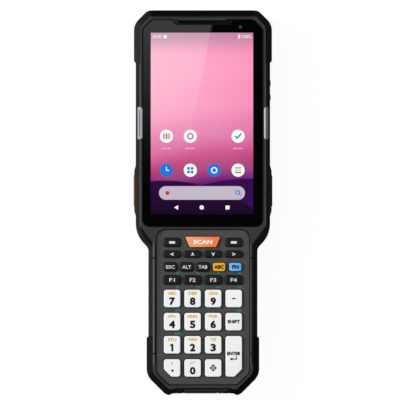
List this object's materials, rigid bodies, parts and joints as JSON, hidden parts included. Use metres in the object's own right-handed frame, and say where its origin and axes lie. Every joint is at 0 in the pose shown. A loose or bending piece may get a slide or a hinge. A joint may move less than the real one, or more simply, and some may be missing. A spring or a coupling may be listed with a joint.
{
  "type": "portable barcode data terminal",
  "caption": "Hand-held barcode data terminal: wide head with a tall display and an end scan window, narrower handle with a keypad, rubber corners, side triggers and a battery pack.",
  "frame": {"origin": "on the resting plane, under the middle of the case's outline", "axes": "+Z out of the display, +Y towards the scanner end, +X to the right when the display is read"},
  "size_m": [0.0728, 0.2016, 0.0272],
  "materials": {
    "case": "fine moulded texture",
    "bumper": "matt, ribbed overmould",
    "cover_glass": "polished hardened glass over a black border",
    "display": "display panel",
    "chassis": "die cast",
    "circuit_board": "solder mask",
    "key_panel": "fine moulded texture",
    "silicone": "moulded silicone",
    "battery": "fine moulded texture",
    "catch": "moulded acetal",
    "port_cover": "matt elastomer",
    "steel": "machined",
    "scan_window": "dark red polished window",
    "scan_engine": "moulded",
    "lens": "polished lens",
    "light_bar": "frosted translucent light guide",
    "trigger_orange": "matt elastomer",
    "trigger_black": "matt elastomer",
    "key_scan": "satin coated",
    "key_amber": "satin coated",
    "key_blue": "satin coated",
    "key_black": "satin coated",
    "key_white": "satin coated"
  },
  "bodies": {
    "terminal": {"battery_catches": "catch", "bumper_bottom_left": "bumper", "bumper_bottom_right": "bumper", "bumper_top_left": "bumper", "bumper_top_right": "bumper", "case_screws": "steel", "charging_socket": "steel", "display_chassis": "chassis", "display_glass": "cover_glass", "display_module": "display", "front_camera": "lens", "front_housing": "case", "housing_seal": "silicone", "keypad_board": "circuit_board", "keypad_membrane": "silicone", "keypad_panel": "key_panel", "main_board": "circuit_board", "port_cover_pin": "steel", "rear_camera": "lens", "rear_housing": "case", "scan_engine": "scan_engine", "scan_window": "scan_window", "speaker": "scan_engine", "status_light_bars": "light_bar"},
    "battery": {"battery_pack": "battery"},
    "port_cover": {"port_cover": "port_cover"},
    "trigger_left": {"trigger_left": "trigger_orange"},
    "trigger_right": {"trigger_right": "trigger_black"},
    "volume_rocker": {"volume_rocker": "trigger_black"},
    "key_scan": {"key_scan": "key_scan"},
    "key_soft_left": {"key_soft_left": "key_black"},
    "key_soft_right": {"key_soft_right": "key_black"},
    "key_left": {"key_left": "key_black"},
    "key_up": {"key_up": "key_black"},
    "key_down": {"key_down": "key_black"},
    "key_right": {"key_right": "key_black"},
    "key_escape": {"key_escape": "key_black"},
    "key_alt": {"key_alt": "key_black"},
    "key_tab": {"key_tab": "key_black"},
    "key_alpha": {"key_alpha": "key_amber"},
    "key_function": {"key_function": "key_blue"},
    "key_f1": {"key_f1": "key_black"},
    "key_f2": {"key_f2": "key_black"},
    "key_f3": {"key_f3": "key_black"},
    "key_f4": {"key_f4": "key_black"},
    "key_7": {"key_7": "key_white"},
    "key_8": {"key_8": "key_white"},
    "key_9": {"key_9": "key_white"},
    "key_minus": {"key_minus": "key_white"},
    "key_4": {"key_4": "key_white"},
    "key_5": {"key_5": "key_white"},
    "key_6": {"key_6": "key_white"},
    "key_shift": {"key_shift": "key_white"},
    "key_1": {"key_1": "key_white"},
    "key_2": {"key_2": "key_white"},
    "key_3": {"key_3": "key_white"},
    "key_enter": {"key_enter": "key_white"},
    "key_point": {"key_point": "key_white"},
    "key_0": {"key_0": "key_white"},
    "key_menu": {"key_menu": "key_white"}
  },
  "joints": [
    {"name": "battery_lift", "type": "slide", "parent": "terminal", "child": "battery", "axis": [0, 0, -1], "range_m": [0, 0.02], "deforming": ["battery_catches"]},
    {"name": "port_cover_swing", "type": "hinge", "parent": "terminal", "child": "port_cover", "pos_m": [-0.0091, -0.09889, 0.0142], "axis": [0, 0, -1], "range_deg": [0, 100]},
    {"name": "trigger_left_press", "type": "slide", "parent": "terminal", "child": "trigger_left", "axis": [1, 0, 0], "range_m": [0, 0.001], "stiffness_N_per_m": 1500, "springref_m": -0.0003},
    {"name": "trigger_right_press", "type": "slide", "parent": "terminal", "child": "trigger_right", "axis": [-1, 0, 0], "range_m": [0, 0.001], "stiffness_N_per_m": 1500, "springref_m": -0.0003},
    {"name": "volume_rock", "type": "hinge", "parent": "terminal", "child": "volume_rocker", "pos_m": [0.0326, 0.05899, 0.0189], "axis": [0, 0, 1], "range_deg": [-3, 3], "stiffness_Nm_per_rad": 0.3},
    {"name": "key_scan_press", "type": "slide", "parent": "terminal", "child": "key_scan", "axis": [0, 0, -1], "range_m": [0, 0.0006], "stiffness_N_per_m": 400, "springref_m": -0.0003},
    {"name": "key_soft_left_press", "type": "slide", "parent": "terminal", "child": "key_soft_left", "axis": [0, 0, -1], "range_m": [0, 0.0006], "stiffness_N_per_m": 400, "springref_m": -0.0003},
    {"name": "key_soft_right_press", "type": "slide", "parent": "terminal", "child": "key_soft_right", "axis": [0, 0, -1], "range_m": [0, 0.0006], "stiffness_N_per_m": 400, "springref_m": -0.0003},
    {"name": "key_left_press", "type": "slide", "parent": "terminal", "child": "key_left", "axis": [0, 0, -1], "range_m": [0, 0.0006], "stiffness_N_per_m": 400, "springref_m": -0.0003},
    {"name": "key_up_press", "type": "slide", "parent": "terminal", "child": "key_up", "axis": [0, 0, -1], "range_m": [0, 0.0006], "stiffness_N_per_m": 400, "springref_m": -0.0003},
    {"name": "key_down_press", "type": "slide", "parent": "terminal", "child": "key_down", "axis": [0, 0, -1], "range_m": [0, 0.0006], "stiffness_N_per_m": 400, "springref_m": -0.0003},
    {"name": "key_right_press", "type": "slide", "parent": "terminal", "child": "key_right", "axis": [0, 0, -1], "range_m": [0, 0.0006], "stiffness_N_per_m": 400, "springref_m": -0.0003},
    {"name": "key_escape_press", "type": "slide", "parent": "terminal", "child": "key_escape", "axis": [0, 0, -1], "range_m": [0, 0.0006], "stiffness_N_per_m": 400, "springref_m": -0.0003},
    {"name": "key_alt_press", "type": "slide", "parent": "terminal", "child": "key_alt", "axis": [0, 0, -1], "range_m": [0, 0.0006], "stiffness_N_per_m": 400, "springref_m": -0.0003},
    {"name": "key_tab_press", "type": "slide", "parent": "terminal", "child": "key_tab", "axis": [0, 0, -1], "range_m": [0, 0.0006], "stiffness_N_per_m": 400, "springref_m": -0.0003},
    {"name": "key_alpha_press", "type": "slide", "parent": "terminal", "child": "key_alpha", "axis": [0, 0, -1], "range_m": [0, 0.0006], "stiffness_N_per_m": 400, "springref_m": -0.0003},
    {"name": "key_function_press", "type": "slide", "parent": "terminal", "child": "key_function", "axis": [0, 0, -1], "range_m": [0, 0.0006], "stiffness_N_per_m": 400, "springref_m": -0.0003},
    {"name": "key_f1_press", "type": "slide", "parent": "terminal", "child": "key_f1", "axis": [0, 0, -1], "range_m": [0, 0.0006], "stiffness_N_per_m": 400, "springref_m": -0.0003},
    {"name": "key_f2_press", "type": "slide", "parent": "terminal", "child": "key_f2", "axis": [0, 0, -1], "range_m": [0, 0.0006], "stiffness_N_per_m": 400, "springref_m": -0.0003},
    {"name": "key_f3_press", "type": "slide", "parent": "terminal", "child": "key_f3", "axis": [0, 0, -1], "range_m": [0, 0.0006], "stiffness_N_per_m": 400, "springref_m": -0.0003},
    {"name": "key_f4_press", "type": "slide", "parent": "terminal", "child": "key_f4", "axis": [0, 0, -1], "range_m": [0, 0.0006], "stiffness_N_per_m": 400, "springref_m": -0.0003},
    {"name": "key_7_press", "type": "slide", "parent": "terminal", "child": "key_7", "axis": [0, 0, -1], "range_m": [0, 0.0006], "stiffness_N_per_m": 400, "springref_m": -0.0003},
    {"name": "key_8_press", "type": "slide", "parent": "terminal", "child": "key_8", "axis": [0, 0, -1], "range_m": [0, 0.0006], "stiffness_N_per_m": 400, "springref_m": -0.0003},
    {"name": "key_9_press", "type": "slide", "parent": "terminal", "child": "key_9", "axis": [0, 0, -1], "range_m": [0, 0.0006], "stiffness_N_per_m": 400, "springref_m": -0.0003},
    {"name": "key_minus_press", "type": "slide", "parent": "terminal", "child": "key_minus", "axis": [0, 0, -1], "range_m": [0, 0.0006], "stiffness_N_per_m": 400, "springref_m": -0.0003},
    {"name": "key_4_press", "type": "slide", "parent": "terminal", "child": "key_4", "axis": [0, 0, -1], "range_m": [0, 0.0006], "stiffness_N_per_m": 400, "springref_m": -0.0003},
    {"name": "key_5_press", "type": "slide", "parent": "terminal", "child": "key_5", "axis": [0, 0, -1], "range_m": [0, 0.0006], "stiffness_N_per_m": 400, "springref_m": -0.0003},
    {"name": "key_6_press", "type": "slide", "parent": "terminal", "child": "key_6", "axis": [0, 0, -1], "range_m": [0, 0.0006], "stiffness_N_per_m": 400, "springref_m": -0.0003},
    {"name": "key_shift_press", "type": "slide", "parent": "terminal", "child": "key_shift", "axis": [0, 0, -1], "range_m": [0, 0.0006], "stiffness_N_per_m": 400, "springref_m": -0.0003},
    {"name": "key_1_press", "type": "slide", "parent": "terminal", "child": "key_1", "axis": [0, 0, -1], "range_m": [0, 0.0006], "stiffness_N_per_m": 400, "springref_m": -0.0003},
    {"name": "key_2_press", "type": "slide", "parent": "terminal", "child": "key_2", "axis": [0, 0, -1], "range_m": [0, 0.0006], "stiffness_N_per_m": 400, "springref_m": -0.0003},
    {"name": "key_3_press", "type": "slide", "parent": "terminal", "child": "key_3", "axis": [0, 0, -1], "range_m": [0, 0.0006], "stiffness_N_per_m": 400, "springref_m": -0.0003},
    {"name": "key_enter_press", "type": "slide", "parent": "terminal", "child": "key_enter", "axis": [0, 0, -1], "range_m": [0, 0.0006], "stiffness_N_per_m": 400, "springref_m": -0.0003},
    {"name": "key_point_press", "type": "slide", "parent": "terminal", "child": "key_point", "axis": [0, 0, -1], "range_m": [0, 0.0006], "stiffness_N_per_m": 400, "springref_m": -0.0003},
    {"name": "key_0_press", "type": "slide", "parent": "terminal", "child": "key_0", "axis": [0, 0, -1], "range_m": [0, 0.0006], "stiffness_N_per_m": 400, "springref_m": -0.0003},
    {"name": "key_menu_press", "type": "slide", "parent": "terminal", "child": "key_menu", "axis": [0, 0, -1], "range_m": [0, 0.0006], "stiffness_N_per_m": 400, "springref_m": -0.0003}
  ]
}
